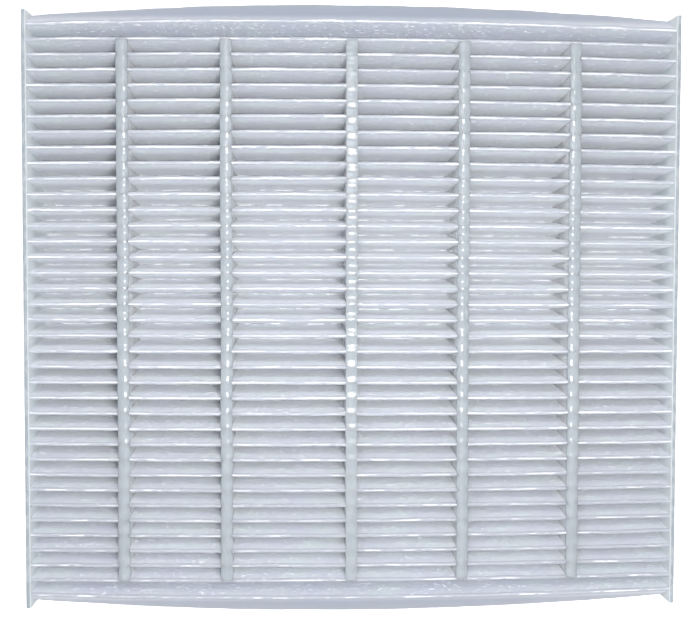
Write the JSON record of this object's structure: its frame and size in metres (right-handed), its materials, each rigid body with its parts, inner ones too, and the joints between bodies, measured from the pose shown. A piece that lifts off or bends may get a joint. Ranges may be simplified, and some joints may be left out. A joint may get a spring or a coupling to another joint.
{
  "type": "cabin air filter",
  "caption": "Pleated cabin air filter: a zigzag of non-woven media with felt side strips and glue lines that hold the folds apart.",
  "frame": {"origin": "middle of the rear face, in the plane of the strips' rear edges on which the filter lies", "axes": "+X along the folds towards the right side strip, +Y across the pleats towards the upper end flap, +Z through the depth from the rear to the front"},
  "size_m": [0.215, 0.2038, 0.03],
  "materials": {
    "filter_media": "white non-woven polypropylene, fibrous with a slight sheen",
    "side_strip": "stiff white needle felt, matt",
    "glue": "milky hot-melt glue, smooth and glossy"
  },
  "bodies": {
    "root": {"pleated_media": "filter_media", "left_side_strip": "side_strip", "right_side_strip": "side_strip", "front_bead_1": "glue", "front_bead_2": "glue", "front_bead_3": "glue", "front_bead_4": "glue", "front_bead_5": "glue", "rear_bead_1": "glue", "rear_bead_2": "glue", "rear_bead_3": "glue", "rear_bead_4": "glue", "rear_bead_5": "glue"}
  },
  "joints": []
}
